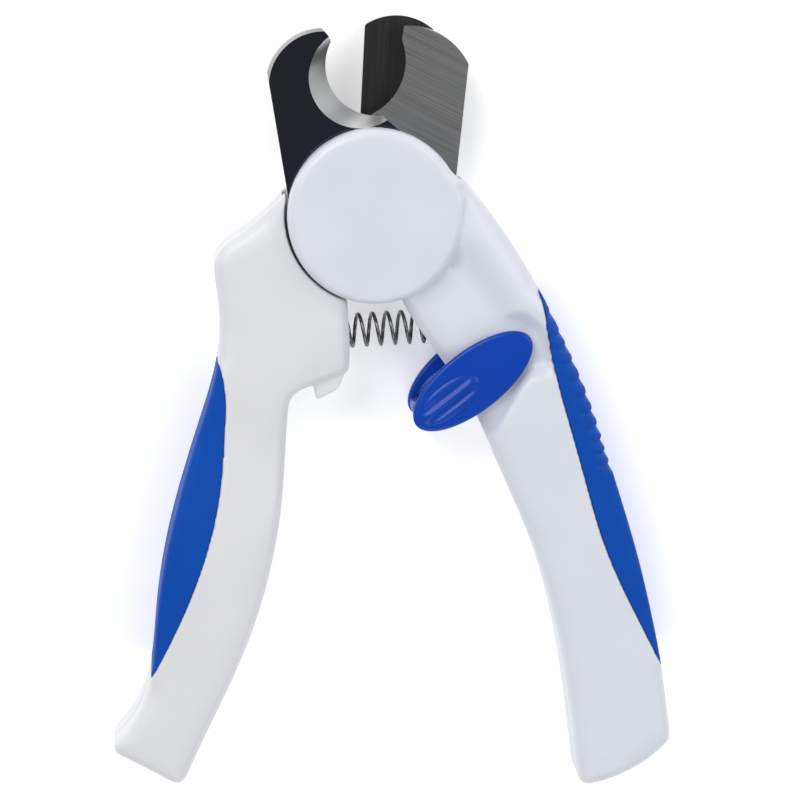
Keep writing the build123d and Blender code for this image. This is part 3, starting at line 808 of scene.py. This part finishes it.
@dataclass
class SoftGrip:
    """A rubber grip, softened over, with grooves between its finger ribs. Sizes in millimetres."""

    node: str
    name: str
    body: Body
    shell: str
    crests: Path = ()
    voxel: float = 0.3
    rounds: int = 5
    seam: float = 0.5
    groove_deep: float = 1.3
    groove_reach: float = 3.4
    groove_low: float = 5.0
    groove_rise: float = 3.0
    groove_power: float = 2.4
    round_deep: float = 0.9
    round_wide: float = 2.2
    lean: float = 0.45

    def build(self) -> bpy.types.Object:
        """Remeshes and softens the grip, and presses its grooves in.

        Returns:
            The grip.
        """
        shape = remeshed(merged_copy(self.node), self.voxel)
        free = clear_of(shape, self.shell, self.seam)
        soften(shape, 1)
        soften(shape, 1 if self.crests else self.rounds, free)
        if self.crests:
            self.press_grooves(shape)
            soften(shape, 1, free)
        keep_in_box(shape, self.node)
        piece = make_piece(shape, self.name, BLUE_RUBBER)
        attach(piece, self.body.value)
        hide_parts(self.node)
        return piece

    def press_grooves(self, shape: bmesh.types.BMesh) -> None:
        """Runs each valley between two ribs on over the face, deepest at the edge and fading inwards.

        Args:
            shape: The grip.
        """
        marks = [along_path(x, y, self.crests)[0] for x, y in self.crests]
        for vert in shape.verts:
            x, y, z = vert.co / MM
            height = abs(z - MIDDLE_Z)
            travelled, side = along_path(x, y, self.crests)
            inwards = max(-side, 0.0)
            where = travelled + inwards * self.lean
            if height < self.groove_low or not marks[0] < where < marks[-1]:
                continue
            below = max(i for i, mark in enumerate(marks) if mark <= where)
            share = (where - marks[below]) / (marks[below + 1] - marks[below])
            off_crest = 1 - abs(2 * share - 1)
            near_face = ease((height - self.groove_low) / self.groove_rise)
            groove = off_crest**self.groove_power * (1 - ease(inwards / self.groove_reach))
            rounding = self.round_deep * (1 - ease(inwards / self.round_wide))
            drop = (self.groove_deep * groove + rounding) * near_face
            vert.co.z -= math.copysign(drop, z - MIDDLE_Z) * MM


@dataclass
class LockLever:
    """The swinging lock: two oval cheeks, a bridge at one end and a grooved thumb pad on each cheek.

    Sizes in millimetres, but the grooves' place, width and fade are shares of the pad's half width or length.
    """

    centre: tuple[float, float] = (19.25, -33.0)
    half_long: float = 14.3
    half_short: float = 6.1
    turn_deg: float = 38.0
    cheek_t: float = 1.6
    cheek_z: tuple[float, float] = (0.7, 16.3)
    rim_r: float = 0.75
    pad_centre: tuple[float, float] = (14.7, -36.6)
    pad_long: float = 7.2
    pad_short: float = 3.5
    pad_sunk: float = 0.7
    proud: float = 0.7
    groove_deep: float = 0.55
    groove_at: float = 0.34
    groove_wide: float = 0.19
    groove_fade: float = 0.45
    bridge_z: tuple[float, float] = (2.4, 16.2)
    bridge_end: float = 0.1
    bridge_sunk: float = 0.5
    segments: int = 128

    def build(self) -> bpy.types.Object:
        """Builds the lever from its cheeks, pads and bridge.

        Returns:
            The lever.
        """
        shape = bmesh.new()
        for low in self.cheek_z:
            self.cheek(shape, low)
        self.pad(shape, self.cheek_z[1] + self.cheek_t, 1)
        self.pad(shape, self.cheek_z[0], -1)
        self.bridge(shape)
        bmesh.ops.recalc_face_normals(shape, faces=shape.faces[:])
        keep_in_box(shape, "lock_lever")
        piece = make_piece(shape, "thumb_lock", BLUE_ACETAL)
        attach(piece, Body.LOCK.value)
        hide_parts("lock_lever")
        return piece

    def cheek(self, shape: bmesh.types.BMesh, low: float) -> None:
        """Adds one oval cheek with a rounded rim.

        Args:
            shape: The lever.
            low: The cheek's lower face.
        """
        made = bmesh.ops.create_circle(shape, cap_ends=True, segments=self.segments, radius=1.0)
        bottom = made["verts"][0].link_faces[0]
        bmesh.ops.scale(shape, vec=(self.half_long * MM, self.half_short * MM, 1.0), verts=made["verts"])
        raised = bmesh.ops.extrude_face_region(shape, geom=[bottom], use_keep_orig=True)
        top = [g for g in raised["geom"] if isinstance(g, bmesh.types.BMVert)]
        bmesh.ops.translate(shape, vec=(0.0, 0.0, self.cheek_t * MM), verts=top)
        verts = list(set(made["verts"]) | set(top))
        own = (e for e in shape.edges if e.verts[0] in verts)
        rims = [e for e in own if abs(e.verts[0].co.z - e.verts[1].co.z) < TOUCHING]
        rounded = bmesh.ops.bevel(
            shape, geom=rims, offset=self.rim_r * MM, affect="EDGES", segments=5, profile=0.5, material=-1
        )
        verts = list(set(v for v in verts if v.is_valid) | set(rounded["verts"]))
        turn = Matrix.Rotation(math.radians(self.turn_deg), 4, "Z")
        move = Matrix.Translation((self.centre[0] * MM, self.centre[1] * MM, low * MM))
        bmesh.ops.transform(shape, matrix=move @ turn, verts=verts)
        bmesh.ops.recalc_face_normals(shape, faces=list({f for v in verts for f in v.link_faces}))

    def pad(self, shape: bmesh.types.BMesh, level: float, way: int) -> None:
        """Adds a low thumb pad with two long grooves, half sunk in its cheek.

        Args:
            shape: The lever.
            level: The cheek's outer face.
            way: 1 for the front cheek and -1 for the back one.
        """
        made = bmesh.ops.create_uvsphere(shape, u_segments=96, v_segments=64, radius=1.0)["verts"]
        height = self.proud + self.pad_sunk
        centres = (-self.groove_at, self.groove_at)
        for vert in made:
            across = vert.co.y
            grooves = sum(math.exp(-(((across - g) / self.groove_wide) ** 2)) for g in centres)
            fade = ease((1 - abs(vert.co.x)) / self.groove_fade)
            flat = math.sqrt(abs(vert.co.z)) * (1 if vert.co.z > 0 else -1)
            vert.co.z = flat * height - (grooves * fade * self.groove_deep if vert.co.z > 0 else 0.0)
            vert.co.x *= self.pad_long
            vert.co.y *= self.pad_short
            vert.co *= MM
        turn = Matrix.Rotation(math.radians(self.turn_deg), 4, "Z")
        flip = Matrix.Diagonal((1.0, 1.0, float(way), 1.0))
        pad_x, pad_y = self.pad_centre
        move = Matrix.Translation((pad_x * MM, pad_y * MM, (level - way * self.pad_sunk) * MM))
        bmesh.ops.transform(shape, matrix=move @ turn @ flip, verts=made)
        bmesh.ops.recalc_face_normals(shape, faces=list({f for v in made for f in v.link_faces}))

    def bridge(self, shape: bmesh.types.BMesh) -> None:
        """Adds the bridge between the cheeks, cut out of the CAD lever and sunk a little into each cheek.

        Args:
            shape: The lever.
        """
        cad = merged_copy("lock_lever")
        middle = MIDDLE_Z * MM
        ends_from = (self.bridge_z[1] - MIDDLE_Z - self.bridge_end) * MM
        for level, way in ((self.bridge_z[0], -1), (self.bridge_z[1], 1)):
            cut = bmesh.ops.bisect_plane(
                cad,
                geom=cad.verts[:] + cad.edges[:] + cad.faces[:],
                dist=TOUCHING,
                plane_co=(0.0, 0.0, level * MM),
                plane_no=(0.0, 0.0, float(way)),
                clear_outer=True,
            )
            rim = [g for g in cut["geom_cut"] if isinstance(g, bmesh.types.BMEdge)]
            bmesh.ops.holes_fill(cad, edges=rim, sides=0)
        for vert in cad.verts:
            if abs(vert.co.z - middle) > ends_from:
                vert.co.z += math.copysign(self.bridge_sunk * MM, vert.co.z - middle)
        mesh = bpy.data.meshes.new("bridge")
        cad.to_mesh(mesh)
        cad.free()
        shape.from_mesh(mesh)
        bpy.data.meshes.remove(mesh)


# Places in the plane of the handles, in millimetres from the pivot.
LOCK_PIVOT = (25.2, -29.0)
# The ridge that the right handle's valley climbs to.
RIGHT_RIDGE: Path = (
    (17.7, -2.7),
    (21.6, -6.0),
    (26.0, -11.2),
    (30.4, -18.6),
    (32.4, -25.6),
    (31.2, -30.4),
    (28.5, -34.2),
    (26.0, -38.4),
)
# The tops of the right grip's finger ribs.
RIB_CRESTS: Path = (
    (33.8, -17.5),
    (36.3, -22.4),
    (37.6, -25.3),
    (38.9, -28.1),
    (40.3, -31.4),
    (41.7, -35.0),
    (43.0, -38.2),
    (44.0, -41.4),
    (45.0, -44.4),
    (45.8, -46.8),
    (46.6, -49.3),
    (47.4, -51.8),
)
# The outer edges that the handles' faces fall away to.
RIGHT_EDGES: tuple[Path, ...] = (
    ((4.4, -14.6), (7.1, -20.2), (14.2, -30.4), (19.6, -39.2), (25.8, -53.3), (31.1, -65.7), (35.4, -79.5)),
    ((35.4, -79.5), (38.3, -94.0), (41.3, -117.2), (51.4, -114.3), (60.0, -107.6), (59.2, -94.8)),
    ((31.6, -13.5), (30.8, -11.9), (24.6, -2.1), (17.9, 5.9), (11.5, 11.2)),
)
LEFT_EDGES: tuple[Path, ...] = (
    ((-17.8, 3.9), (-23.3, -1.3), (-30.0, -5.2), (-32.2, -8.2), (-31.2, -14.8), (-30.6, -22.5), (-31.6, -27.2)),
    ((-46.6, -95.4), (-54.3, -107.6), (-47.0, -111.5), (-39.2, -116.0), (-33.1, -102.7), (-27.9, -91.7)),
    ((-27.9, -91.7), (-23.6, -80.6), (-20.5, -69.1), (-18.6, -57.6), (-17.7, -45.2), (-15.9, -37.9)),
    ((-15.9, -37.9), (-12.0, -34.4), (-5.1, -31.4), (-4.9, -26.0), (-5.6, -17.0)),
)


@dataclass(frozen=True)
class Lamp:
    """A square soft light that faces the pivot. Sizes in metres."""

    name: str
    place: tuple[float, float, float]
    size: float
    watts: float

    def build(self) -> None:
        """Hangs the lamp."""
        data = bpy.data.lights.new(self.name, "AREA")
        data.size = self.size
        data.energy = self.watts
        light = bpy.data.objects.new(self.name, data)
        light.location = self.place
        light.rotation_euler = Vector(self.place).to_track_quat("Z", "Y").to_euler()
        bpy.context.scene.collection.objects.link(light)


@dataclass
class Studio:
    """The pale floor, the soft lights and the camera. Sizes in metres."""

    aim: tuple[float, float, float] = (0.00527, -0.03799, 0.0100)
    eye: tuple[float, float, float] = (-0.03998, 0.09637, 0.69549)
    lens_mm: float = 157.5
    clip: tuple[float, float] = (0.01, 20.0)
    floor_size: float = 6.0
    lamps: tuple[Lamp, ...] = (
        Lamp("key", (-0.9, 1.1, 1.3), 1.3, 24.5),
        Lamp("fill", (1.2, 0.5, 1.2), 1.4, 12.0),
        Lamp("front", (0.1, -1.5, 1.0), 1.2, 8.5),
    )
    room_colour: tuple[float, float, float, float] = (0.95, 0.97, 1.0, 1.0)
    room_strength: float = 0.32

    def build(self) -> None:
        """Sets the whole studio up."""
        self.colours()
        self.camera()
        self.floor()
        self.lights()

    def colours(self) -> None:
        """Shows the finishes' hex colours as they are, with no film curve."""
        settings = bpy.context.scene.view_settings
        settings.view_transform = "Standard"
        settings.look = "None"

    def camera(self) -> None:
        """Looks almost straight down, a little from the blades' side and from the left."""
        data = bpy.data.cameras.new("camera")
        data.lens = self.lens_mm
        data.clip_start, data.clip_end = self.clip
        camera = bpy.data.objects.new("camera", data)
        camera.location = self.eye
        back = (Vector(self.eye) - Vector(self.aim)).normalized()
        right = Vector((0.0, 1.0, 0.0)).cross(back).normalized()
        up = back.cross(right)
        camera.rotation_euler = Matrix((right, up, back)).transposed().to_euler()
        bpy.context.scene.collection.objects.link(camera)
        bpy.context.scene.camera = camera

    def floor(self) -> None:
        """A wide sheet of white paper on a light table, which thins the shadows out."""
        shape = bmesh.new()
        bmesh.ops.create_grid(shape, x_segments=1, y_segments=1, size=self.floor_size / 2)
        paper = Moulded(
            "white_paper_floor",
            "FAFAFA",
            "FCFCFC",
            (0.8, 0.9),
            patch_mm=60.0,
            grain_depth_mm=0.01,
            glow=0.3,
        )
        floor = make_piece(shape, "floor", paper)

    def lights(self) -> None:
        """A broad key from the upper left, a fill from the right, and a soft dim room."""
        for lamp in self.lamps:
            lamp.build()
        world = bpy.data.worlds.new("soft_room")
        world.use_nodes = True
        background = world.node_tree.nodes["Background"]
        background.inputs["Color"].default_value = self.room_colour
        background.inputs["Strength"].default_value = self.room_strength
        bpy.context.scene.world = world


ASSEMBLIES = (
    ReturnSpring(),
    LockLever(),
    SoftGrip("right_grip", "right_rubber_grip", Body.RIGHT, "right_front_shell", RIB_CRESTS),
    SoftGrip("left_grip", "left_rubber_grip", Body.LEFT, "left_front_shell"),
    *(
        SoftShell(
            f"right_{side}_shell",
            f"right_{side}_cover",
            Body.RIGHT,
            WHITE_RIGHT,
            Slot.WHITE_RIGHT,
            "right_grip",
            RIGHT_EDGES,
            RIGHT_RIDGE,
        )
        for side in ("front", "rear")
    ),
    *(
        SoftShell(
            f"left_{side}_shell",
            f"left_{side}_cover",
            Body.LEFT,
            WHITE_LEFT,
            Slot.WHITE_LEFT,
            "left_grip",
            LEFT_EDGES,
        )
        for side in ("front", "rear")
    ),
)


def main() -> None:
    """Builds the studio, dresses the CAD nodes and adds the finely shaped pieces."""
    logging.basicConfig(level=logging.INFO, format="%(message)s")
    Studio().build()
    for dressing in CAD_DRESSINGS:
        dressing.apply()
    for assembly in ASSEMBLIES:
        piece = assembly.build()
        log.info("%s has %d faces", piece.name, len(piece.data.polygons))


if __name__ == "__main__":
    main()
